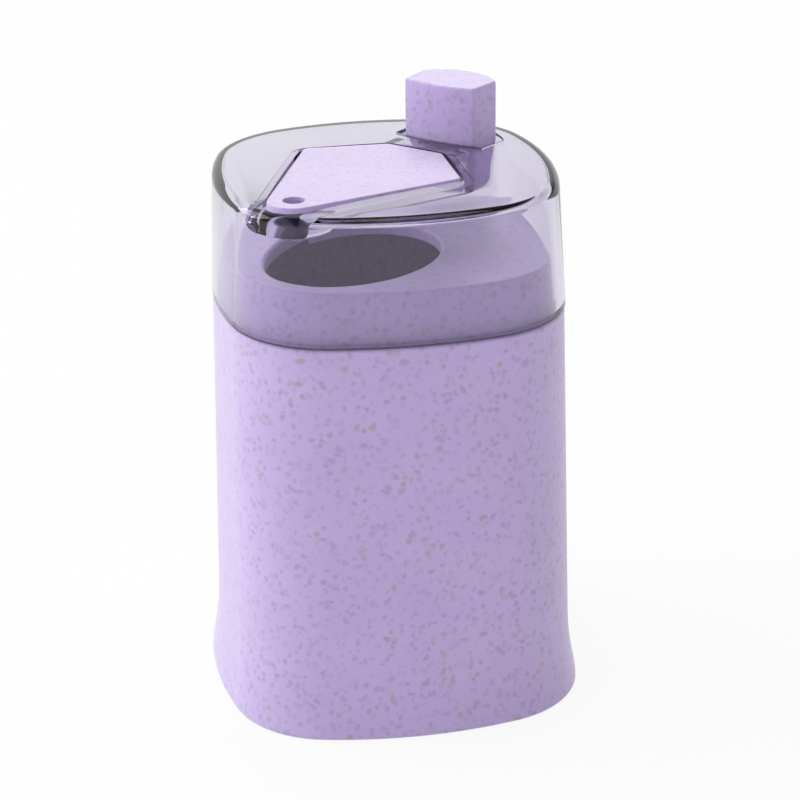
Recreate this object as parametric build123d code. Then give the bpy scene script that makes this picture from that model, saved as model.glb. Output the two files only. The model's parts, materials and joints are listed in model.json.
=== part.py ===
from build123d import *
import os
from math import acos, asin, atan2, ceil, cos, degrees, hypot, pi, radians, sin, sqrt, tan

# Toothpick holder with a push button. Millimetres, +Z up, origin at the centre of the base.
# The rounded square stands on its corners: pick hole at the front corner (-Y), button at the back (+Y).

# Body
body_height = 63.3          # table to the seam under the cap
seam_half = 26.4            # half the width across flats, at the seam
side_draft = 1.4            # degrees, the sides widen downwards
foot_flare = 1.3            # extra half width at the foot
foot_flare_height = 12.0
foot_flare_steps = 3
corner_radius = 16.0
side_radius = 66.0          # the flats bow out a little
body_wall = 2.2
shoulder_thick = 2.3
body_edge = 0.6             # rounding of the rim and of the shoulder
neck_height = 8.0           # shoulder to deck
neck_wall = 2.0
neck_edge = 0.5
deck_thick = 2.0
mouth_width = 24.0
mouth_length = 31.0
mouth_inset = 4.46876       # cap's front corner to the mouth
mouth_edge = 0.6

# Base plate, let into the foot
base_thick = 2.2
base_fit = 0.1
rim_wall = 1.5
base_foot_width = 6.0
base_recess = 0.6

# Cap
cap_height = 19.9
cap_lip = 0.2               # the cap's lower edge stands proud of the body
cap_draft = 2.3             # degrees, the cap narrows upwards
cap_top_side_radius = 50.0
cap_wall = 1.6
cap_top_thick = 1.9
cap_fit = 0.4               # cap to neck
cap_crown_radius = 550.0    # the top is a little domed
cap_edge = 1.4
cap_rim_edge = 0.4

# Flap: kite-shaped plate, level with the middle of the cap's top
hole_inset = 5.86           # cap's front corner to the pick hole
hole_radius = 1.65
apex_radius = 3.9
kite_half = 14.5
kite_rear_half = 5.0
kite_rear_depth = 9.0       # side corners to rear edge
kite_rear_gap = 5.61        # rear edge to the button
kite_round = 1.0
flap_thick = 2.0
flap_edge = 0.2
flap_gap = 0.6
bevel_land = 0.25           # upright part of the plate's rear edges, above their bevel
bevel_run = 1.6             # how far the bevel runs in for each millimetre down
collar_wall = 1.4
collar_depth = 2.8          # from the cap's top
nose_radius = 6.3           # deeper round of the collar about the pick hole
nose_depth = 4.2
nose_edge = 1.2
hole_lead = 0.8             # funnel under the pick hole

# Pivot, behind the plate and under the cap's top
pivot_back = 2.9            # plate's rear edge to the pin
pin_radius = 0.8
pin_run = 0.05
pin_fit = 0.02
hub_radius = 1.6
hub_clear = 0.4             # hub to the cap's underside, and to the ears
hub_half = 4.7
ear_thick = 1.6
ear_radius = 1.9
arm_inner = 2.0             # the yoke's arms stand either side of the spring
arm_thick = 1.4
arm_depth = 1.8
arm_rise = 0.7              # top of the front arms above the pin
gusset_length = 7.0
tail_length = 7.0           # pin to cross bar
bar_radius = 1.0

# Return spring on the pin
wire_radius = 0.25
coil_radius = 1.4
coil_pitch = 1.0
coil_turns = 3
spring_seat = 0.1           # wire to the surface that its leg bears on
front_leg_reach = 2.2
rear_leg_past = 1.2
gap_samples = 400           # points on the wire where its gap to itself is measured

# Button
button_inset = 4.4          # cap's back corner to the button
button_depth = 9.95
button_front_bow = 1.1
button_shoulder_half = 6.5
button_back_bow = 3.2
button_wide_half = 6.8
button_round = 0.6
button_rise = 8.65          # above the cap's top
button_edge = 0.4
button_wall = 1.3
button_roof = 1.6
stem_drop = 7.9             # below the cap's top
stem_taper_drop = 0.7       # where the stem starts to taper, below the cap's top
stem_taper = 1.4
press_gap = 0.2             # push ribs to the yoke's cross bar
rib_ahead = 0.4             # push ribs in front of the cross bar's middle
button_travel = 2.9
window_clear = 0.4
slot_front_gap = 0.3
slot_side_gap = 1.5
slot_back_gap = 0.8


def corner_centre(half, corner_r, side_r):
    """How far out, along each of its two flats' normals, a corner's arc has its centre."""
    side_back = side_r - half
    return (sqrt(2 * (side_r - corner_r) ** 2 - side_back**2) - side_back) / 2


# Heights and places that follow
deck_z = body_height + neck_height
top_z = body_height + cap_height
cap_top_half = seam_half + cap_lip - cap_height * tan(radians(cap_draft))
cap_corner = sqrt(2) * corner_centre(cap_top_half, corner_radius, cap_top_side_radius) + corner_radius
hole_y = hole_inset - cap_corner
mouth_y = mouth_inset + mouth_length / 2 - cap_corner
button_back_y = cap_corner - button_inset
button_front_y = button_back_y - button_depth
button_shoulder_y = button_front_y + button_front_bow
button_wide_y = button_back_y - button_back_bow
kite_rear_y = button_front_y - kite_rear_gap
kite_corner_y = kite_rear_y - kite_rear_depth
ceiling_z = top_z - cap_top_thick
plate_z = top_z - flap_thick
pivot_y = kite_rear_y + pivot_back
pivot_z = ceiling_z - hub_clear - hub_radius
arm_outer = arm_inner + arm_thick
ear_inner = hub_half + hub_clear
ear_outer = ear_inner + ear_thick
bar_y = pivot_y + tail_length
stem_z = top_z - stem_drop
taper_z = top_z - stem_taper_drop
button_top_z = top_z + button_rise
swing = button_travel / tail_length     # radians


def section(half, corner_r, side_r, z):
    """Rounded square of eight tangent arcs, its corners on X and Y."""
    side_back = side_r - half
    corner_at = corner_centre(half, corner_r, side_r)
    reach = side_r / (side_r - corner_r)
    join_u = (corner_at + side_back) * reach - side_back
    join_v = corner_at * reach
    tip = corner_at + corner_r / sqrt(2)
    edges = []
    for quarter in range(4):
        place = Location((0, 0, z), (0, 0, 45 + 90 * quarter))
        edges.append(place * ThreePointArc((join_u, -join_v), (half, 0), (join_u, join_v)))
        edges.append(place * ThreePointArc((join_u, join_v), (tip, tip), (join_v, join_u)))
    return make_face(edges)


def body_section(z, inset=0.0):
    flare = max(0.0, 1 - z / foot_flare_height)
    half = seam_half + (body_height - z) * tan(radians(side_draft)) + foot_flare * flare**2
    return section(half - inset, corner_radius - inset, side_radius - inset, z)


def cap_section(z, inset=0.0):
    up = z - body_height
    half = seam_half + cap_lip - up * tan(radians(cap_draft))
    side_r = side_radius + (cap_top_side_radius - side_radius) * up / cap_height
    return section(half - inset, corner_radius - inset, side_r - inset, z)


def slab(x_range, y_range, z_range):
    """Box between two values on each axis."""
    size = [high - low for low, high in (x_range, y_range, z_range)]
    middle = [(high + low) / 2 for low, high in (x_range, y_range, z_range)]
    return Pos(*middle) * Box(*size)


def rod(radius, x_low, x_high, y, z):
    """Round bar along X."""
    turned = Rot(0, 90, 0) * Cylinder(radius, x_high - x_low)
    return Pos((x_low + x_high) / 2, y, z) * turned


def side_plate(points, x_low, x_high):
    """Plate across X from an outline of (y, z) points."""
    face = make_face(Polyline([(x_low, y, z) for y, z in points], close=True))
    return extrude(face, amount=x_high - x_low, dir=(1, 0, 0))


def kite(grow=0.0):
    """The flap's outline: a round apex about the pick hole, two long sides, rear corners cut off."""
    lean = atan2(kite_half, kite_corner_y - hole_y)
    lean -= asin(apex_radius / hypot(kite_half, kite_corner_y - hole_y))
    touch = (apex_radius * cos(lean), hole_y - apex_radius * sin(lean))
    path = Polyline(
        touch,
        (kite_half, kite_corner_y),
        (kite_rear_half, kite_rear_y),
        (-kite_rear_half, kite_rear_y),
        (-kite_half, kite_corner_y),
        (-touch[0], touch[1]),
    )
    apex = ThreePointArc((-touch[0], touch[1]), (0, hole_y - apex_radius), touch)
    face = make_face([*path.edges(), apex])
    corners = face.vertices().filter_by(lambda v: v.Y > hole_y)
    face = fillet(corners, kite_round)
    if grow:
        face = offset(face, grow)
    return face


def barrel(front=0.0, side=0.0, back=0.0, corner=button_round):
    """The button's plan, drawn in by the given amounts: bowed front and back, flaring sides."""
    half_front = button_shoulder_half - side
    half_wide = button_wide_half - side
    front_y = button_shoulder_y + front
    edges = [
        ThreePointArc((-half_front, front_y), (0, button_front_y + front), (half_front, front_y)),
        Line((half_front, front_y), (half_wide, button_wide_y)),
        ThreePointArc((half_wide, button_wide_y), (0, button_back_y - back), (-half_wide, button_wide_y)),
        Line((-half_wide, button_wide_y), (-half_front, front_y)),
    ]
    face = make_face(edges)
    return fillet(face.vertices(), corner)


def edges_at(part, z):
    return part.edges().filter_by_position(Axis.Z, z - 0.01, z + 0.01)


def flared(low_z, high_z, inset):
    """The body's form between two heights: straight sides above a foot that curves outwards."""
    step = (foot_flare_height - low_z) / foot_flare_steps
    foot = loft([body_section(low_z + step * n, inset) for n in range(foot_flare_steps + 1)])
    return foot + loft([body_section(z, inset) for z in (foot_flare_height, high_z)])


def make_body_shell():
    under_shoulder = body_height - shoulder_thick
    shell = flared(0, body_height, 0)
    shell = fillet(edges_at(shell, body_height), body_edge)
    shell = fillet(edges_at(shell, 0), body_edge)
    shell -= flared(base_thick, under_shoulder, body_wall)
    shell -= extrude(body_section(0, rim_wall), amount=base_thick)
    neck_inset = cap_wall + cap_fit
    neck = loft([cap_section(z, neck_inset) for z in (under_shoulder, deck_z)])
    neck = fillet(edges_at(neck, deck_z), neck_edge)
    shell += neck
    bore_inset = neck_inset + neck_wall
    shell -= loft([cap_section(z, bore_inset) for z in (under_shoulder, deck_z - deck_thick)])
    mouth = Pos(0, mouth_y, deck_z - deck_thick) * Ellipse(mouth_width / 2, mouth_length / 2)
    shell -= extrude(mouth, amount=deck_thick)
    mouth_lip = edges_at(shell, deck_z).filter_by(GeomType.ELLIPSE)
    return fillet(mouth_lip, mouth_edge)


def make_base_plate():
    inset = rim_wall + base_fit
    plate = extrude(body_section(0, inset), amount=base_thick)
    return plate - extrude(body_section(0, inset + base_foot_width), amount=base_recess)


def make_cap():
    outer = loft([cap_section(z) for z in (body_height, top_z)])
    outer &= Pos(0, 0, top_z - cap_crown_radius) * Rot(0, 90, 0) * Sphere(cap_crown_radius)
    top_rim = outer.edges().filter_by(lambda e: e.center().Z > ceiling_z)
    outer = fillet(top_rim, cap_edge)
    outer = fillet(edges_at(outer, body_height), cap_rim_edge)
    shell = outer - loft([cap_section(z, cap_wall) for z in (body_height, ceiling_z)])
    collar_z = top_z - collar_depth
    collar = extrude(Pos(0, 0, collar_z) * kite(flap_gap + collar_wall), amount=collar_depth)
    nose = Pos(0, hole_y, top_z - nose_depth / 2) * Cylinder(nose_radius, nose_depth)
    collar += fillet(edges_at(nose, top_z - nose_depth), nose_edge)
    collar &= outer
    collar_rear = kite_rear_y + flap_gap + collar_wall + hub_clear
    collar -= slab((-ear_inner, ear_inner), (kite_corner_y, collar_rear), (collar_z, ceiling_z))
    shell += collar
    for x_low in (-ear_outer, ear_inner):
        ear = rod(ear_radius, x_low, x_low + ear_thick, pivot_y, pivot_z)
        ear += slab(
            (x_low, x_low + ear_thick),
            (pivot_y - ear_radius, pivot_y + ear_radius),
            (pivot_z, top_z - cap_top_thick / 2),
        )
        shell += ear
    shell -= extrude(Pos(0, 0, top_z - nose_depth) * kite(flap_gap), amount=nose_depth)
    slot = barrel(-slot_front_gap, -slot_side_gap, -slot_back_gap)
    shell -= extrude(Pos(0, 0, ceiling_z) * slot, amount=cap_top_thick)
    return shell - rod(pin_radius + pin_fit, -ear_outer, ear_outer, pivot_y, pivot_z)


def make_flap_lever():
    plate = extrude(Pos(0, 0, plate_z) * kite(), amount=flap_thick)
    cut = 4 * kite_half             # wider than the plate
    rear_edges = [((0, kite_rear_y), (0, 1))]
    slope = Vector(kite_rear_y - kite_corner_y, kite_half - kite_rear_half).normalized()
    rear_edges += [((side * kite_half, kite_corner_y), (side * slope.X, slope.Y)) for side in (-1, 1)]
    for (x, y), (nx, ny) in rear_edges:
        under = Plane(origin=(x, y, top_z - bevel_land), x_dir=(-ny, nx, 0), z_dir=(nx, ny, -bevel_run))
        plate -= under * Pos(0, 0, cut / 2) * Box(cut, cut, cut)
    plate = fillet(edges_at(plate, top_z), flap_edge)
    arm_top = pivot_z + arm_rise
    gusset = [
        (pivot_y, arm_top),
        (kite_rear_y - bevel_run, arm_top),
        (kite_rear_y - bevel_run * flap_thick, plate_z + bevel_land),
        (kite_rear_y - gusset_length, plate_z + bevel_land),
        (pivot_y, pivot_z - hub_radius),
    ]
    for side in (-1, 1):
        arm_low = min(side * arm_inner, side * arm_outer)
        plate += side_plate(gusset, arm_low, arm_low + arm_thick)
        tail_z = (pivot_z - arm_depth / 2, pivot_z + arm_depth / 2)
        plate += slab((arm_low, arm_low + arm_thick), (pivot_y, bar_y), tail_z)
        hub_low = min(side * arm_inner, side * hub_half)
        plate += rod(hub_radius, hub_low, hub_low + hub_half - arm_inner, pivot_y, pivot_z)
    plate += rod(bar_radius, -arm_outer, arm_outer, bar_y, pivot_z)
    plate -= rod(pin_radius + pin_run, -hub_half, hub_half, pivot_y, pivot_z)
    plate -= Pos(0, hole_y, plate_z + flap_thick / 2) * Cylinder(hole_radius, flap_thick)
    lead = Cone(hole_radius + hole_lead, hole_radius, 2 * hole_lead)
    return plate - Pos(0, hole_y, plate_z + hole_lead) * lead


def make_push_button():
    def shaft(inset, low_z, high_z, corner):
        foot_in = inset + stem_taper
        foot = Pos(0, 0, low_z) * barrel(foot_in, foot_in, foot_in, corner)
        neck = barrel(inset, inset, inset, corner)
        tapered = loft([foot, Pos(0, 0, taper_z) * neck])
        return tapered + extrude(Pos(0, 0, taper_z) * neck, amount=high_z - taper_z)

    button = shaft(0, stem_z, button_top_z, button_round)
    button = fillet(edges_at(button, button_top_z), button_edge)
    roof_z = button_top_z - button_roof
    button -= shaft(button_wall, stem_z, roof_z, button_round / 2)
    window_low = pivot_z - arm_depth / 2 - window_clear
    window_high = pivot_z + arm_depth / 2 + tail_length * swing / 2 + window_clear
    window_half = arm_outer + window_clear
    window_back = button_shoulder_y + button_wall + stem_taper
    window_depth = (button_front_y - button_wall, window_back)
    button -= slab((-window_half, window_half), window_depth, (window_low, window_high))
    rib_low = pivot_z + bar_radius + press_gap
    for side in (-1, 1):
        arm_low = min(side * arm_inner, side * arm_outer)
        rib_y = (bar_y - rib_ahead, bar_y + bar_radius)
        button += slab((arm_low, arm_low + arm_thick), rib_y, (rib_low, roof_z + button_roof / 2))
    return button


def make_pivot_pin():
    return rod(pin_radius, -ear_outer, ear_outer, pivot_y, pivot_z)


def biarc(start, start_dir, end, end_dir):
    """Two arcs that meet smoothly between two points with given directions."""
    span = end - start
    both = start_dir + end_dir
    bend = 2 * (1 - start_dir.dot(end_dir))
    along = span.dot(both)
    handle = (sqrt(along**2 + bend * span.dot(span)) - along) / bend
    first = start + start_dir * handle
    last = end - end_dir * handle
    middle = (first + last) / 2
    return [
        TangentArc(start, middle, tangent=start_dir),
        TangentArc(middle, end, tangent=(last - first).normalized()),
    ]


def make_return_spring():
    front_z = ceiling_z - spring_seat - wire_radius - pivot_z
    bar_clear = bar_radius + spring_seat + wire_radius
    front_far = hypot(front_leg_reach, front_z)
    start_angle = acos(coil_radius / front_far) - atan2(front_leg_reach, front_z)
    end_angle = asin((coil_radius + bar_clear) / tail_length) + 2 * pi * coil_turns
    rise = coil_pitch / (2 * pi)
    middle_angle = (start_angle + end_angle) / 2

    def at(angle):
        x = (angle - middle_angle) * rise
        return Vector(x, pivot_y + coil_radius * sin(angle), pivot_z + coil_radius * cos(angle))

    def heading(angle):
        climb = rise if start_angle < angle < end_angle else 0
        return Vector(climb, coil_radius * cos(angle), -coil_radius * sin(angle)).normalized()

    quarters = ceil((end_angle - start_angle) / (pi / 2))
    inner = [start_angle + (end_angle - start_angle) * n / quarters for n in range(1, quarters)]
    stops = [start_angle, *inner, end_angle]
    wire = [Line(at(start_angle) - heading(start_angle) * front_leg_reach, at(start_angle))]
    for low, high in zip(stops, stops[1:]):
        wire += biarc(at(low), heading(low), at(high), heading(high))
    rear_leg = tail_length + rear_leg_past
    wire.append(Line(at(end_angle), at(end_angle) + heading(end_angle) * rear_leg))
    path = Wire(wire)
    spring = sweep(Plane(origin=path @ 0, z_dir=path % 0) * Circle(wire_radius), path=path)
    samples = [path @ (n / gap_samples) for n in range(gap_samples + 1)]
    half_turn = int(gap_samples * pi * coil_radius / path.length)
    apart = [
        (here - there).length
        for n, here in enumerate(samples)
        for there in samples[n + half_turn :]
    ]
    print("spring: least gap to itself", round(min(apart) - 2 * wire_radius, 3), "mm")
    return spring


pieces = {
    "body_shell": make_body_shell(),
    "base_plate": make_base_plate(),
    "cap": make_cap(),
    "flap_lever": make_flap_lever(),
    "push_button": make_push_button(),
    "pivot_pin": make_pivot_pin(),
    "return_spring": make_return_spring(),
}

os.makedirs("parts", exist_ok=True)
for name, solid in pieces.items():
    export_step(solid, f"parts/{name}.step")
print("flap swing", round(degrees(swing), 2), "degrees for", button_travel, "mm of button travel")
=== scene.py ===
import json
import math

import bmesh
import bpy
from mathutils import Matrix, Vector


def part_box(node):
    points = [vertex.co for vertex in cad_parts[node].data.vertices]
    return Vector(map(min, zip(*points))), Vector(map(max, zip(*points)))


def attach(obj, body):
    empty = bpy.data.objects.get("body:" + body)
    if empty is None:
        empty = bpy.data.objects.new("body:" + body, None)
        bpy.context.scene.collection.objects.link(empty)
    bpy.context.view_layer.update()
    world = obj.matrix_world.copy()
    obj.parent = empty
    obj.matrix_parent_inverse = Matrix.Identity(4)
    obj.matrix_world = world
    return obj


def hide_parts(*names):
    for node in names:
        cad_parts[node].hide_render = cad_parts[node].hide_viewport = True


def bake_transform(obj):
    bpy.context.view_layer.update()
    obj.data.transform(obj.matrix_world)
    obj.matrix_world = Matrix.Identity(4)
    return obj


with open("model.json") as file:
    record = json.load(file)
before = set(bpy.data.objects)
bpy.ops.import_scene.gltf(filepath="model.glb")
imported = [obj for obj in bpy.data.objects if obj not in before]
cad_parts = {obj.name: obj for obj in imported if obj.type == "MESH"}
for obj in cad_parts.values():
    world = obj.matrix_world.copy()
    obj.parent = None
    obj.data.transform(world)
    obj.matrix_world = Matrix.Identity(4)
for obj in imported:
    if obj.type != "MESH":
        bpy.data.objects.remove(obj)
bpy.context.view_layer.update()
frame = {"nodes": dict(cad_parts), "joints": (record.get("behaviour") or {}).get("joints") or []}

nodes = frame["nodes"]
scene = bpy.context.scene
print("frame loaded:", ", ".join(sorted(nodes)))


def blankMaterial(name):
    material = bpy.data.materials.new(name)
    material.use_nodes = True
    material.node_tree.nodes.clear()
    return material, material.node_tree


def addNode(tree, kind, values=None, **settings):
    made = tree.nodes.new(kind)
    for key, value in settings.items():
        setattr(made, key, value)
    for key, value in (values or {}).items():
        if isinstance(value, bpy.types.NodeSocket):
            tree.links.new(value, made.inputs[key])
        else:
            made.inputs[key].default_value = value
    return made


def mathNode(tree, operation, first, second):
    return addNode(tree, "ShaderNodeMath", {0: first, 1: second}, operation=operation).outputs[0]


def vectorNode(tree, operation, first, second=(0.0, 0.0, 0.0)):
    made = addNode(tree, "ShaderNodeVectorMath", {0: first, 1: second}, operation=operation)
    return made.outputs["Value" if operation in ("DOT_PRODUCT", "LENGTH") else "Vector"]


def mixColour(tree, factor, first, second):
    made = addNode(tree, "ShaderNodeMix", data_type="RGBA")
    for socket, value in ((made.inputs[0], factor), (made.inputs[6], first), (made.inputs[7], second)):
        if isinstance(value, bpy.types.NodeSocket):
            tree.links.new(value, socket)
        else:
            socket.default_value = value
    return made.outputs[2]


def mapRange(tree, value, fromLow, fromHigh, toLow, toHigh, smooth=False):
    kind = "SMOOTHSTEP" if smooth else "LINEAR"
    values = {0: value, 1: fromLow, 2: fromHigh, 3: toLow, 4: toHigh}
    return addNode(tree, "ShaderNodeMapRange", values, interpolation_type=kind).outputs[0]


def millimetres(tree):
    coords = addNode(tree, "ShaderNodeTexCoord").outputs["Object"]
    return vectorNode(tree, "MULTIPLY", coords, (1000.0, 1000.0, 1000.0))


def noiseNode(tree, vector, scale, detail=2.0, roughness=0.5):
    values = {"Vector": vector, "Scale": scale, "Detail": detail, "Roughness": roughness}
    return addNode(tree, "ShaderNodeTexNoise", values)


# lavender plastic filled with fine straw
strawPlastic = {
    "lavender": (0.505, 0.395, 0.69, 1.0),
    "lavenderDeep": (0.48, 0.37, 0.665, 1.0),  # slow drift of the tint
    "straw": (0.40, 0.285, 0.32, 1.0),
    "husk": (0.33, 0.255, 0.43, 1.0),  # flecks that lie under the skin
    "huskLayer": {"cell": 1.25, "halfLength": (0.5, 1.1), "halfWidth": 0.5, "shift": 0.0},  # mm
    "strawLayer": {"cell": 2.0, "halfLength": (0.6, 1.25), "halfWidth": 0.55, "shift": 41.0},
    "fleckWarp": 0.45,  # mm that a fleck's outline wanders
    "warpScale": 1.1,
    "fleckFade": 1.2,  # where a fleck has faded out, in half sizes squared
    "huskStrength": (0.2, 0.7),
    "strawStrength": (0.3, 0.75),
    "strawShare": 0.5,  # of the straw layer's cells that hold one
    "strawSink": 0.6,  # share of the skin's bump that a straw lies lower
    "driftScale": 0.09,
    "grainScale": 4.0,
    "roughness": (0.42, 0.52),
    "ior": 1.49,
    "sheen": 0.5,  # pale bloom of the fine fibres at low angles
    "sheenRoughness": 0.5,
    "skinBump": 0.012,  # mm
    "bumpStrength": 0.35,
}


def fleckMask(tree, coords, layer):
    warpNoise = noiseNode(tree, coords, strawPlastic["warpScale"]).outputs["Color"]
    centred = vectorNode(tree, "SUBTRACT", warpNoise, (0.5, 0.5, 0.5))
    warp = strawPlastic["fleckWarp"] * 2
    moved = vectorNode(tree, "ADD", coords, vectorNode(tree, "MULTIPLY", centred, (warp, warp, warp)))
    moved = vectorNode(tree, "ADD", moved, (layer["shift"],) * 3)
    cells = addNode(tree, "ShaderNodeTexVoronoi", {"Vector": moved, "Scale": 1 / layer["cell"]})
    offset = vectorNode(tree, "SUBTRACT", moved, cells.outputs["Position"])
    dice = addNode(tree, "ShaderNodeTexWhiteNoise", {"Vector": cells.outputs["Position"]})
    heading = vectorNode(tree, "SUBTRACT", dice.outputs["Color"], (0.5, 0.5, 0.5))
    heading = vectorNode(tree, "NORMALIZE", heading)
    along = vectorNode(tree, "DOT_PRODUCT", offset, heading)
    total = vectorNode(tree, "DOT_PRODUCT", offset, offset)
    alongSquare = mathNode(tree, "MULTIPLY", along, along)
    acrossSquare = mathNode(tree, "SUBTRACT", total, alongSquare)
    halfLength = mapRange(tree, dice.outputs["Value"], 0.0, 1.0, *layer["halfLength"])
    lengthShare = mathNode(tree, "DIVIDE", alongSquare, mathNode(tree, "MULTIPLY", halfLength, halfLength))
    widthShare = mathNode(tree, "DIVIDE", acrossSquare, layer["halfWidth"] ** 2)
    reach = mathNode(tree, "ADD", lengthShare, widthShare)
    mask = mapRange(tree, reach, 0.0, strawPlastic["fleckFade"], 1.0, 0.0, smooth=True)
    return mask, dice.outputs["Color"]


def makeStrawPlastic():
    material, tree = blankMaterial("strawPlastic")
    coords = millimetres(tree)
    drift = noiseNode(tree, coords, strawPlastic["driftScale"], 3.0).outputs["Fac"]
    driftShare = mapRange(tree, drift, 0.3, 0.7, 0.0, 1.0)
    skin = mixColour(tree, driftShare, strawPlastic["lavender"], strawPlastic["lavenderDeep"])
    huskMask, huskDice = fleckMask(tree, coords, strawPlastic["huskLayer"])
    strawMask, strawDice = fleckMask(tree, coords, strawPlastic["strawLayer"])
    strength = addNode(tree, "ShaderNodeSeparateColor", {"Color": huskDice})
    huskStrength = mapRange(tree, strength.outputs[1], 0.0, 1.0, *strawPlastic["huskStrength"])
    skin = mixColour(tree, mathNode(tree, "MULTIPLY", huskMask, huskStrength), skin, strawPlastic["husk"])
    pick = addNode(tree, "ShaderNodeSeparateColor", {"Color": strawDice})
    shown = mathNode(tree, "LESS_THAN", pick.outputs[0], strawPlastic["strawShare"])
    strawStrength = mapRange(tree, pick.outputs[2], 0.0, 1.0, *strawPlastic["strawStrength"])
    strawAmount = mathNode(tree, "MULTIPLY", mathNode(tree, "MULTIPLY", strawMask, shown), strawStrength)
    skin = mixColour(tree, strawAmount, skin, strawPlastic["straw"])
    grain = noiseNode(tree, coords, strawPlastic["grainScale"], 3.0, 0.6).outputs["Fac"]
    roughness = mapRange(tree, grain, 0.25, 0.75, *strawPlastic["roughness"])
    sink = mathNode(tree, "MULTIPLY", strawAmount, strawPlastic["strawSink"])
    bump = addNode(tree, "ShaderNodeBump", {
        "Strength": strawPlastic["bumpStrength"],
        "Distance": strawPlastic["skinBump"] / 1000,
        "Height": mathNode(tree, "SUBTRACT", grain, sink),
    })
    shader = addNode(tree, "ShaderNodeBsdfPrincipled", {
        "Base Color": skin,
        "Roughness": roughness,
        "Normal": bump.outputs["Normal"],
        "IOR": strawPlastic["ior"],
        "Sheen Weight": strawPlastic["sheen"],
        "Sheen Roughness": strawPlastic["sheenRoughness"],
    })
    addNode(tree, "ShaderNodeOutputMaterial", {"Surface": shader.outputs[0]})
    return material


# clear plastic with a light smoke tint
smokeClear = {
    "ior": 1.52,
    "tint": (0.46, 0.395, 0.64, 1.0),
    "density": 165.0,  # per metre
    "roughness": (0.015, 0.04),
    "lampPass": (0.96, 0.96, 0.96, 1.0),  # what lamps keep at each face
    "hazeScale": 0.35,
    "ripple": 0.004,  # mm
    "rippleScale": 0.12,
    "rippleStrength": 0.3,
}


def makeSmokeClear():
    material, tree = blankMaterial("smokeClear")
    coords = millimetres(tree)
    haze = noiseNode(tree, coords, smokeClear["hazeScale"], 4.0).outputs["Fac"]
    ripple = noiseNode(tree, coords, smokeClear["rippleScale"], 1.0).outputs["Fac"]
    bump = addNode(tree, "ShaderNodeBump", {
        "Strength": smokeClear["rippleStrength"],
        "Distance": smokeClear["ripple"] / 1000,
        "Height": ripple,
    })
    shader = addNode(tree, "ShaderNodeBsdfPrincipled", {
        "Base Color": (1.0, 1.0, 1.0, 1.0),
        "Roughness": mapRange(tree, haze, 0.35, 0.7, *smokeClear["roughness"]),
        "Normal": bump.outputs["Normal"],
        "IOR": smokeClear["ior"],
        "Transmission Weight": 1.0,
    })
    passing = addNode(tree, "ShaderNodeBsdfTransparent", {"Color": smokeClear["lampPass"]})
    path = addNode(tree, "ShaderNodeLightPath")
    fromLamp = mathNode(tree, "MAXIMUM", path.outputs["Is Shadow Ray"], path.outputs["Is Diffuse Ray"])
    mixed = addNode(tree, "ShaderNodeMixShader", {0: fromLamp, 1: shader.outputs[0], 2: passing.outputs[0]})
    tint = addNode(tree, "ShaderNodeVolumeAbsorption", {
        "Color": smokeClear["tint"],
        "Density": smokeClear["density"],
    })
    values = {"Surface": mixed.outputs[0], "Volume": tint.outputs[0]}
    addNode(tree, "ShaderNodeOutputMaterial", values)
    return material


# painted shade: an opaque dark colour on the ends of the tinted walls, standing in for the light that runs
# along inside the clear plastic and is swallowed there
paintedWallShade = {
    "dark": (0.035, 0.028, 0.055, 1.0),
    "pale": (0.075, 0.062, 0.11, 1.0),
    "roughness": 0.35,
    "cloudScale": 0.5,
}


def makePaintedWallShade():
    material, tree = blankMaterial("paintedWallShade")
    cloud = noiseNode(tree, millimetres(tree), paintedWallShade["cloudScale"], 3.0).outputs["Fac"]
    shader = addNode(tree, "ShaderNodeBsdfPrincipled", {
        "Base Color": mixColour(tree, cloud, paintedWallShade["dark"], paintedWallShade["pale"]),
        "Roughness": paintedWallShade["roughness"],
        "IOR": smokeClear["ior"],
    })
    addNode(tree, "ShaderNodeOutputMaterial", {"Surface": shader.outputs[0]})
    return material


# drawn steel of the pin and the spring
drawnSteel = {
    "bright": (0.62, 0.62, 0.64, 1.0),
    "dull": (0.42, 0.42, 0.45, 1.0),
    "roughness": (0.22, 0.38),
    "streak": (0.4, 6.0, 6.0),  # drawing lines run along X
}


def makeDrawnSteel():
    material, tree = blankMaterial("drawnSteel")
    streak = vectorNode(tree, "MULTIPLY", millimetres(tree), drawnSteel["streak"])
    lines = noiseNode(tree, streak, 1.0, 4.0).outputs["Fac"]
    shader = addNode(tree, "ShaderNodeBsdfPrincipled", {
        "Base Color": mixColour(tree, lines, drawnSteel["dull"], drawnSteel["bright"]),
        "Roughness": mapRange(tree, lines, 0.3, 0.7, *drawnSteel["roughness"]),
        "Metallic": 1.0,
    })
    addNode(tree, "ShaderNodeOutputMaterial", {"Surface": shader.outputs[0]})
    return material


plastic = makeStrawPlastic()
clear = makeSmokeClear()
shadeEndMaterial = makePaintedWallShade()
steel = makeDrawnSteel()
finishes = {
    "body_shell": plastic,
    "base_plate": plastic,
    "flap_lever": plastic,
    "push_button": plastic,
    "cap": clear,
    "pivot_pin": steel,
    "return_spring": steel,
}
for name, material in finishes.items():
    nodes[name].data.materials.clear()
    nodes[name].data.materials.append(material)
print("materials made:", ", ".join(sorted({m.name for m in finishes.values()})))


# torsion spring on the pivot pin: one leg under the cap, the other under the lever's cross bar
returnSpring = {
    "wireRadius": 0.00025,
    "coilRadius": 0.0014,
    "pitch": 0.001,
    "turns": 3,
    "frontLegReach": 0.0022,
    "frontLegRise": 0.00165,  # leg's end above the pin
    "tailLength": 0.007,
    "barClear": 0.00135,  # cross bar's middle to the leg
    "rearLegPast": 0.0012,
    "rearLegSteps": 6,
    "stepsPerTurn": 40,
    "sides": 14,
}


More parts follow.
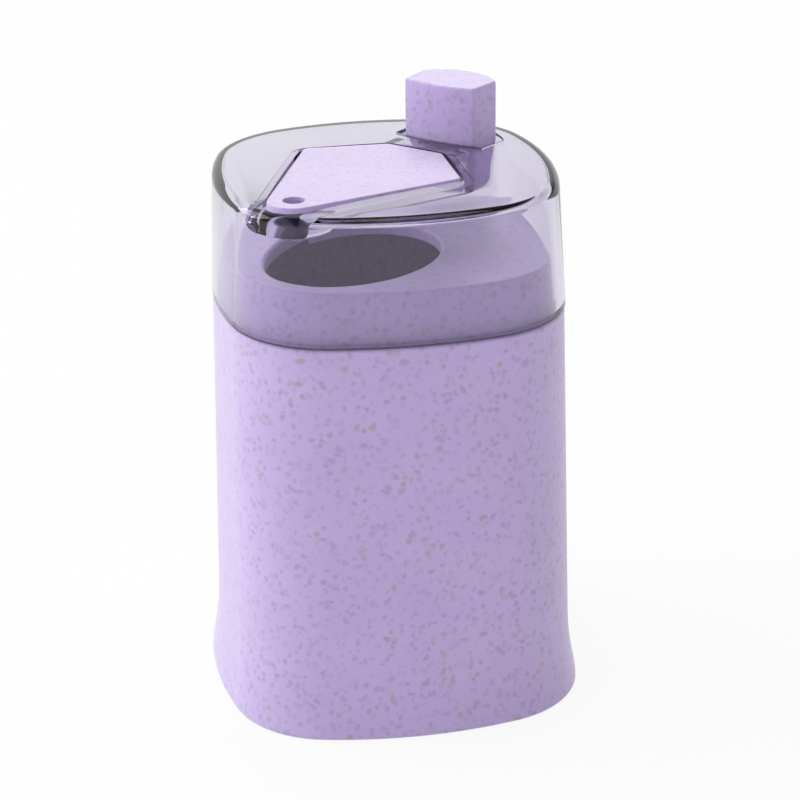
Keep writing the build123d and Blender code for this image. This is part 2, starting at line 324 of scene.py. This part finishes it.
def springPath(pivot):
    s = returnSpring
    farEnd = math.hypot(s["frontLegReach"], s["frontLegRise"])
    startAngle = math.acos(s["coilRadius"] / farEnd) - math.atan2(s["frontLegReach"], s["frontLegRise"])
    endAngle = math.asin((s["coilRadius"] + s["barClear"]) / s["tailLength"]) + 2 * math.pi * s["turns"]
    middle = (startAngle + endAngle) / 2

    def at(angle):
        x = (angle - middle) * s["pitch"] / (2 * math.pi)
        return pivot + Vector((x, s["coilRadius"] * math.sin(angle), s["coilRadius"] * math.cos(angle)))

    def heading(angle):
        return Vector((0, math.cos(angle), -math.sin(angle)))

    steps = int(s["stepsPerTurn"] * (endAngle - startAngle) / (2 * math.pi))
    points = [at(startAngle) - heading(startAngle) * s["frontLegReach"]]
    points += [at(startAngle + (endAngle - startAngle) * n / steps) for n in range(steps + 1)]
    rearReach = s["tailLength"] + s["rearLegPast"]
    stride = heading(endAngle) * rearReach / s["rearLegSteps"]
    return points + [at(endAngle) + stride * n for n in range(1, s["rearLegSteps"] + 1)]


def tubeMesh(name, points, radius, sides):
    count = len(points)
    verts, faces = [], []
    side = Vector((1, 0, 0))
    for n, point in enumerate(points):
        ahead = points[min(n + 1, count - 1)] - points[max(n - 1, 0)]
        ahead.normalize()
        side = (side - ahead * side.dot(ahead)).normalized()
        up = ahead.cross(side)
        for k in range(sides):
            turn = 2 * math.pi * k / sides
            verts.append(point + (side * math.cos(turn) + up * math.sin(turn)) * radius)
    for n in range(count - 1):
        for k in range(sides):
            a, b = n * sides + k, n * sides + (k + 1) % sides
            faces.append((a, b, b + sides, a + sides))
    faces.append(tuple(reversed(range(sides))))
    faces.append(tuple(range((count - 1) * sides, count * sides)))
    mesh = bpy.data.meshes.new(name)
    mesh.from_pydata(verts, [], faces)
    for polygon in mesh.polygons:
        polygon.use_smooth = len(polygon.vertices) == 4
    mesh.update()
    made = bpy.data.objects.new(name, mesh)
    scene.collection.objects.link(made)
    return made


flapJoint = next(j for j in frame["joints"] if j["name"] == "flap_lift")
pivot = Vector(flapJoint["pos_m"])
spring = tubeMesh("springWire", springPath(pivot), returnSpring["wireRadius"], returnSpring["sides"])
spring.data.materials.append(steel)
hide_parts("return_spring")
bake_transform(spring)
print("spring wound:", len(spring.data.vertices), "points")


# clear cap with the solid's sizes, in far finer facets so that it bends light cleanly
capShell = {
    "seamHalf": 0.0266,  # half the width across flats, at the lower edge
    "draft": 2.3,  # degrees
    "cornerRadius": 0.016,
    "seamSideRadius": 0.066,  # bow of the flats at the lower edge
    "topSideRadius": 0.050,
    "height": 0.0199,
    "wall": 0.0016,
    "topThick": 0.0019,
    "crownRadius": 0.55,
    "topEdge": 0.0014,
    "rimEdge": 0.0004,
    "innerEdge": 0.0004,
    "earInner": 0.0051,
    "earThick": 0.0016,
    "earRadius": 0.0019,
    "pinRadius": 0.00082,
    "pinSteps": 40,
    "flatSteps": 24,
    "cornerSteps": 64,
    "roundSteps": 8,
    "crownRings": 16,
    "sharpAngle": 25.0,  # degrees
    "overcut": 0.002,  # how far a cutter runs past what it cuts
}
flapWell = {
    "holeY": -0.02241,
    "apexRadius": 0.0039,
    "half": 0.0145,
    "rearHalf": 0.005,
    "rearDepth": 0.009,  # side corners to rear edge
    "rearToPivot": 0.0029,
    "corner": 0.001,
    "gap": 0.0006,
    "wall": 0.0014,
    "depth": 0.0028,
    "behind": 0.0004,
    "noseRadius": 0.0063,  # deeper round about the pick hole
    "noseDepth": 0.0042,
    "noseEdge": 0.0012,
    "noseSteps": 72,
    "steps": 360,
}
buttonSlot = {
    "frontToWell": 0.00561,  # flap's rear edge to the button
    "depth": 0.00995,
    "frontBow": 0.0011,
    "backBow": 0.0032,
    "frontHalf": 0.0080,
    "wideHalf": 0.0083,
    "frontGap": 0.0003,
    "backGap": 0.0008,
    "paintedShadeDepth": 0.0009,  # wall's upper part that gets the painted shade
    "steps": 24,
}


def capRing(z, inset):
    up = z - capLow
    half = capShell["seamHalf"] - up * math.tan(math.radians(capShell["draft"]))
    share = up / capShell["height"]
    sideRadius = capShell["seamSideRadius"] * (1 - share) + capShell["topSideRadius"] * share
    cornerRadius = capShell["cornerRadius"]
    sideBack = sideRadius - half
    cornerAt = (math.sqrt(2 * (sideRadius - cornerRadius) ** 2 - sideBack**2) - sideBack) / 2
    join = math.atan2(cornerAt, cornerAt + sideBack)
    flat = (-sideBack, 0.0, sideRadius, -join, join, capShell["flatSteps"])
    corner = (cornerAt, cornerAt, cornerRadius, join, math.pi / 2 - join, capShell["cornerSteps"])
    points = []
    for quarter in range(4):
        turn = Matrix.Rotation(math.radians(45 + 90 * quarter), 2)
        for u, v, radius, start, end, steps in (flat, corner):
            for n in range(steps):
                angle = start + (end - start) * n / steps
                reach = radius - inset
                points.append(turn @ Vector((u + reach * math.cos(angle), v + reach * math.sin(angle))))
    return points


def level(ring, z):
    return [Vector((p.x, p.y, z)) for p in ring]


def quarterTurn():
    steps = capShell["roundSteps"]
    return [math.pi / 2 * n / steps for n in range(steps + 1)]


def outerRings():
    rim, edge, crown = capShell["rimEdge"], capShell["topEdge"], capShell["crownRadius"]
    top = capLow + capShell["height"]
    rings = []
    for angle in quarterTurn():
        z = capLow + rim * (1 - math.cos(angle))
        rings.append(level(capRing(z, rim * (1 - math.sin(angle))), z))
    topRing = capRing(top, edge)
    drops = [p.length_squared / (2 * crown) for p in topRing]
    for angle in quarterTurn():
        below = edge * (1 - math.sin(angle))
        ring = capRing(top - below, edge * (1 - math.cos(angle)))
        rings.append([Vector((p.x, p.y, top - drop - below)) for p, drop in zip(ring, drops)])
    for n in range(1, capShell["crownRings"]):
        share = 1 - n / capShell["crownRings"]
        rings.append([
            Vector((p.x * share, p.y * share, top - drop * share**2)) for p, drop in zip(topRing, drops)
        ])
    return rings


def innerRings():
    wall, edge = capShell["wall"], capShell["innerEdge"]
    ceiling = capLow + capShell["height"] - capShell["topThick"]
    low = capLow - capShell["overcut"]
    rings = [level(capRing(low, wall), low)]
    for angle in quarterTurn():
        z = ceiling - edge * (1 - math.sin(angle))
        rings.append(level(capRing(z, wall + edge * (1 - math.cos(angle))), z))
    return rings


def roundCentre(before, corner, after, radius):
    first = (before - corner).normalized()
    second = (after - corner).normalized()
    halfAngle = first.angle(second) / 2
    return corner + (first + second).normalized() * radius / math.sin(halfAngle)


def kiteOutline(grow):
    w = flapWell
    rearY = pivot.y - w["rearToPivot"]
    cornerY = rearY - w["rearDepth"]
    apex = Vector((0.0, w["holeY"]))
    side = Vector((w["half"], cornerY))
    rear = Vector((w["rearHalf"], rearY))
    away = side - apex
    lean = math.atan2(away.x, away.y) - math.asin(w["apexRadius"] / away.length)
    touch = apex + Vector((math.cos(lean), -math.sin(lean))) * w["apexRadius"]
    mirrored = Vector((-rear.x, rear.y))
    sideRound = roundCentre(touch, side, rear, w["corner"])
    rearRound = roundCentre(side, rear, mirrored, w["corner"])
    rounds = [(apex, w["apexRadius"])]
    for centre in (sideRound, rearRound):
        rounds += [(centre, w["corner"]), (Vector((-centre.x, centre.y)), w["corner"])]
    outline = []
    for n in range(w["steps"]):
        angle = 2 * math.pi * n / w["steps"]
        out = Vector((math.cos(angle), math.sin(angle)))
        centre, radius = max(rounds, key=lambda pair: pair[0].dot(out) + pair[1])
        outline.append(centre + out * (radius + grow))
    return outline


def bowed(start, middleY, end, steps):
    bow = abs(middleY - start.y)
    half = abs(end.x - start.x) / 2
    radius = (half**2 + bow**2) / (2 * bow)
    sign = 1 if middleY > start.y else -1
    swing = math.asin(half / radius) * (1 if end.x > start.x else -1)
    centreY = middleY - sign * radius
    angles = [-swing + 2 * swing * n / steps for n in range(steps + 1)]
    return [Vector((radius * math.sin(a), centreY + sign * radius * math.cos(a))) for a in angles]


def slotOutline():
    b = buttonSlot
    frontY = pivot.y - flapWell["rearToPivot"] + b["frontToWell"]
    backY = frontY + b["depth"]
    shoulderY = frontY + b["frontBow"] - b["frontGap"]
    wideY = backY - b["backBow"]
    front = bowed(Vector((-b["frontHalf"], shoulderY)), frontY - b["frontGap"],
                  Vector((b["frontHalf"], shoulderY)), b["steps"])
    back = bowed(Vector((b["wideHalf"], wideY)), backY + b["backGap"],
                 Vector((-b["wideHalf"], wideY)), b["steps"])
    return front + back


def earOutline():
    radius = capShell["earRadius"]
    high = capLow + capShell["height"] - capShell["topThick"] / 2
    sweep = [math.pi * n / capShell["roundSteps"] for n in range(capShell["roundSteps"] + 1)]
    bottom = [(pivot.y - radius * math.cos(a), pivot.z - radius * math.sin(a)) for a in sweep]
    return [(pivot.y - radius, high), *bottom, (pivot.y + radius, high)]


def noseRings(top):
    w = flapWell
    low = top - w["noseDepth"]
    profile = []
    for angle in quarterTurn():
        inset = w["noseEdge"] * (1 - math.sin(angle))
        profile.append((w["noseRadius"] - inset, low + w["noseEdge"] * (1 - math.cos(angle))))
    profile.append((w["noseRadius"], top + capShell["overcut"]))
    turns = [2 * math.pi * n / w["noseSteps"] for n in range(w["noseSteps"])]
    return [
        [Vector((r * math.cos(a), w["holeY"] + r * math.sin(a), z)) for a in turns] for r, z in profile
    ]


def ringObject(name, rings):
    count = len(rings[0])
    verts = [p for ring in rings for p in ring]
    faces = [tuple(reversed(range(count))), tuple(range((len(rings) - 1) * count, len(rings) * count))]
    for r in range(len(rings) - 1):
        for n in range(count):
            a, b = r * count + n, r * count + (n + 1) % count
            faces.append((a, b, b + count, a + count))
    mesh = bpy.data.meshes.new(name)
    mesh.from_pydata(verts, [], faces)
    shape = bmesh.new()
    shape.from_mesh(mesh)
    bmesh.ops.recalc_face_normals(shape, faces=shape.faces)
    shape.to_mesh(mesh)
    shape.free()
    made = bpy.data.objects.new(name, mesh)
    scene.collection.objects.link(made)
    return made


def uprightPrism(name, outline, low, high):
    return ringObject(name, [[Vector((p[0], p[1], z)) for p in outline] for z in (low, high)])


def crossPrism(name, outline, low, high):
    return ringObject(name, [[Vector((x, p[0], p[1])) for p in outline] for x in (low, high)])


def carve(target, tool):
    cut = target.modifiers.new("cut", "BOOLEAN")
    cut.operation = "DIFFERENCE"
    cut.solver = "EXACT"
    cut.object = tool
    shaped = target.evaluated_get(bpy.context.evaluated_depsgraph_get())
    mesh = bpy.data.meshes.new_from_object(shaped)
    target.modifiers.clear()
    target.data = mesh
    bpy.data.objects.remove(tool)


def makeCapShell():
    past = capShell["overcut"]
    top = capLow + capShell["height"]
    ceiling = top - capShell["topThick"]
    collarLow = top - flapWell["depth"]
    collarGrow = flapWell["gap"] + flapWell["wall"]
    earInner, earThick = capShell["earInner"], capShell["earThick"]

    collar = uprightPrism("collar", kiteOutline(collarGrow), collarLow, top + past)
    frontY = pivot.y - flapWell["rearToPivot"] - flapWell["rearDepth"]
    rearY = pivot.y - flapWell["rearToPivot"] + collarGrow + flapWell["behind"]
    opening = [(-earInner, frontY), (earInner, frontY), (earInner, rearY), (-earInner, rearY)]
    carve(collar, uprightPrism("opening", opening, collarLow - past, top + 2 * past))
    cavity = ringObject("cavity", innerRings())
    carve(cavity, collar)
    carve(cavity, ringObject("nose", noseRings(top)))
    for low in (-earInner - earThick, earInner):
        carve(cavity, crossPrism("ear", earOutline(), low, low + earThick))

    shell = ringObject("capShell", outerRings())
    carve(shell, cavity)
    sliver = past / 100  # keeps the well's floor off the collar's
    wellLow = top - flapWell["noseDepth"] - sliver
    carve(shell, uprightPrism("well", kiteOutline(flapWell["gap"]), wellLow, top + past))
    slotLevels = (ceiling - past, top - buttonSlot["paintedShadeDepth"], top + past)
    carve(shell, ringObject("slot", [level(slotOutline(), z) for z in slotLevels]))
    sweep = [2 * math.pi * n / capShell["pinSteps"] for n in range(capShell["pinSteps"])]
    radius = capShell["pinRadius"]
    hole = [(pivot.y + radius * math.cos(a), pivot.z + radius * math.sin(a)) for a in sweep]
    reach = earInner + earThick + past / 2
    carve(shell, crossPrism("pinHole", hole, -reach, reach))
    for polygon in shell.data.polygons:
        polygon.use_smooth = True
    shell.data.set_sharp_from_angle(angle=math.radians(capShell["sharpAngle"]))
    return shell


# which of the cap's faces are wall ends that get the painted shade, by their normals' parts
paintedShadeLimits = {"upright": 0.1, "facing": 0.3}


def getsPaintedShade(polygon):
    centre, normal = polygon.center, polygon.normal
    if centre.z < capLow + capShell["rimEdge"]:
        return True
    if abs(normal.z) > paintedShadeLimits["upright"]:
        return False
    top = capLow + capShell["height"]
    ceiling = top - capShell["topThick"]
    near = flapWell["gap"] * 2
    across = abs(centre.x)
    facesBack = normal.y > paintedShadeLimits["facing"]
    facesFront = normal.y < -paintedShadeLimits["facing"]
    rearY = pivot.y - flapWell["rearToPivot"]
    cornerY = rearY - flapWell["rearDepth"]
    slotY = rearY + buttonSlot["frontToWell"]
    slotBack = slotY + buttonSlot["depth"]
    if across < buttonSlot["wideHalf"] + near and slotY - near < centre.y < slotBack + near:
        return centre.z > (ceiling if facesBack else top - buttonSlot["paintedShadeDepth"])
    thick = flapWell["wall"] + near
    if across < flapWell["half"] + thick and cornerY < centre.y < rearY + thick:
        inWell = facesFront and centre.z > top - flapWell["depth"]
        outside = facesBack and centre.z < ceiling
        return inWell or outside
    return False


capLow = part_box("cap")[0][2]
cap = makeCapShell()
cap.data.materials.clear()
cap.data.materials.append(clear)
# the second material is the painted shade, given to the wall ends picked below
cap.data.materials.append(shadeEndMaterial)
for polygon in cap.data.polygons:
    polygon.material_index = int(getsPaintedShade(polygon))
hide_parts("cap")
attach(cap, "cap")
print("cap shaped:", len(cap.data.polygons), "facets")


# pale floor, white backdrop all round and higher at the left rear, and a dim room above the rest
studio = {
    "floorSize": 6.0,
    "floorColour": (0.95, 0.95, 0.96, 1.0),
    "floorLift": 0.88,  # share of plain white that the camera sees in the floor
    "horizon": 2.5,
    "zenith": 0.60,
    "shadeSide": 0.42,  # share of the sky that is left on its dim side
    "zenithRise": 0.7,
    "skyTurn": 100.0,  # degrees from +Y towards -X where the sky is brightest
    "skyEdge": (-0.8, 0.6),  # cosines where it is dimmest and where it is full
    "backdropTurn": 70.0,  # degrees from +Y towards -X where the backdrop is high
    "backdropEdge": (0.3, 0.9),  # cosines where it fades out and where it is full
    "backdropRise": (0.15, 0.35),  # sines where the backdrop all round ends, and where the room begins
    "backdrop": 1.0,
    "room": 0.2,
    "roomColour": (0.80, 0.70, 1.0, 1.0),
}


def seenDirectly(tree):
    path = addNode(tree, "ShaderNodeLightPath")
    seen = mathNode(tree, "MAXIMUM", path.outputs["Is Camera Ray"], path.outputs["Is Glossy Ray"])
    return mathNode(tree, "MAXIMUM", seen, path.outputs["Is Transmission Ray"])


def makeFloor():
    half = studio["floorSize"] / 2
    mesh = bpy.data.meshes.new("floor")
    corners = [(-half, -half, 0), (half, -half, 0), (half, half, 0), (-half, half, 0)]
    mesh.from_pydata(corners, [], [(0, 1, 2, 3)])
    floor = bpy.data.objects.new("floor", mesh)
    scene.collection.objects.link(floor)
    material, tree = blankMaterial("paleFloor")
    matte = addNode(tree, "ShaderNodeBsdfDiffuse", {"Color": studio["floorColour"]})
    white = addNode(tree, "ShaderNodeEmission", {"Color": (1.0, 1.0, 1.0, 1.0), "Strength": 1.0})
    lift = mathNode(tree, "MULTIPLY", seenDirectly(tree), studio["floorLift"])
    mixed = addNode(tree, "ShaderNodeMixShader", {0: lift, 1: matte.outputs[0], 2: white.outputs[0]})
    addNode(tree, "ShaderNodeOutputMaterial", {"Surface": mixed.outputs[0]})
    mesh.materials.append(material)


def facingShare(tree, direction, degrees):
    turn = math.radians(degrees)
    return vectorNode(tree, "DOT_PRODUCT", direction, (-math.sin(turn), math.cos(turn), 0.0))


def makeSurround():
    world = bpy.data.worlds.new("surround")
    world.use_nodes = True
    tree = world.node_tree
    tree.nodes.clear()
    direction = addNode(tree, "ShaderNodeTexCoord").outputs["Generated"]
    rise = addNode(tree, "ShaderNodeSeparateXYZ", {0: direction}).outputs[2]
    sky = mapRange(tree, rise, 0.0, studio["zenithRise"], studio["horizon"], studio["zenith"])
    skyFacing = facingShare(tree, direction, studio["skyTurn"])
    skyShare = mapRange(tree, skyFacing, *studio["skyEdge"], studio["shadeSide"], 1.0)
    sky = mathNode(tree, "MULTIPLY", sky, skyShare)
    facing = facingShare(tree, direction, studio["backdropTurn"])
    behind = mapRange(tree, facing, *studio["backdropEdge"], 0.0, 1.0, smooth=True)
    around = mapRange(tree, rise, *studio["backdropRise"], 1.0, 0.0, smooth=True)
    lit = mathNode(tree, "MAXIMUM", behind, around)
    room = mapRange(tree, lit, 0.0, 1.0, studio["room"], studio["backdrop"])
    path = addNode(tree, "ShaderNodeLightPath").outputs
    glow = mapRange(tree, path["Is Diffuse Ray"], 0.0, 1.0, room, sky)
    glow = mapRange(tree, path["Is Camera Ray"], 0.0, 1.0, glow, 1.0)
    plain = mathNode(tree, "MAXIMUM", path["Is Diffuse Ray"], path["Is Camera Ray"])
    white = (1.0, 1.0, 1.0, 1.0)
    colour = mixColour(tree, mathNode(tree, "MAXIMUM", plain, lit), studio["roomColour"], white)
    light = addNode(tree, "ShaderNodeBackground", {"Color": colour, "Strength": glow})
    addNode(tree, "ShaderNodeOutputWorld", {"Surface": light.outputs[0]})
    scene.world = world


makeFloor()
makeSurround()


# soft lamps, in metres: place, side of the panel, and the pieces it lights if not all
lamps = {
    "keyLamp": {"place": (-0.85, -0.30, 0.60), "size": 0.7, "watts": 4.5},
    "topLamp": {"place": (0.05, 0.15, 1.1), "size": 0.55, "watts": 1.8},
    "rearLamp": {  # gloss on the level faces of the plastic
        "place": (-0.50, 0.70, 0.76),
        "size": 0.4,
        "watts": 2.9,
        "lights": ("body_shell", "flap_lever", "push_button"),
    },
}
lampAim = Vector((0, 0, 0.045))
for name, lamp in lamps.items():
    data = bpy.data.lights.new(name, "AREA")
    data.shape = "SQUARE"
    data.size = lamp["size"]
    data.energy = lamp["watts"]
    panel = bpy.data.objects.new(name, data)
    panel.location = lamp["place"]
    panel.rotation_mode = "QUATERNION"
    panel.rotation_quaternion = (lampAim - panel.location).to_track_quat("-Z", "Y")
    scene.collection.objects.link(panel)
    if lamp.get("lights"):
        lit = bpy.data.collections.new(name + "Lights")
        for part in lamp["lights"]:
            lit.objects.link(nodes[part])
        panel.light_linking.receiver_collection = lit
print("studio lit:", ", ".join(lamps))


# camera at the photograph's angle
view = {
    "azimuth": 35.52,
    "elevation": 23.33,
    "roll": -0.95,
    "target": (0.0, 0.0, 0.03977),
    "distance": 0.3722,
    "lens": 105.93,
    "sensor": 36.0,
    "clipStart": 0.01,
    "shift": (0.015, 0.0325),
}


def makeCamera():
    data = bpy.data.cameras.new("photoView")
    data.sensor_width = view["sensor"]
    data.lens = view["lens"]
    data.shift_x, data.shift_y = view["shift"]
    data.clip_start = view["clipStart"]
    camera = bpy.data.objects.new("photoView", data)
    turn, lift = math.radians(view["azimuth"]), math.radians(view["elevation"])
    flat = math.cos(lift)
    back = Vector((math.sin(turn) * flat, -math.cos(turn) * flat, math.sin(lift)))
    camera.location = Vector(view["target"]) + back * view["distance"]
    camera.rotation_mode = "QUATERNION"
    aim = (-back).to_track_quat("-Z", "Y")
    roll = Matrix.Rotation(math.radians(view["roll"]), 3, "Z").to_quaternion()
    camera.rotation_quaternion = aim @ roll
    scene.collection.objects.link(camera)
    scene.camera = camera


makeCamera()
scene.view_settings.view_transform = "Standard"
print("camera set")
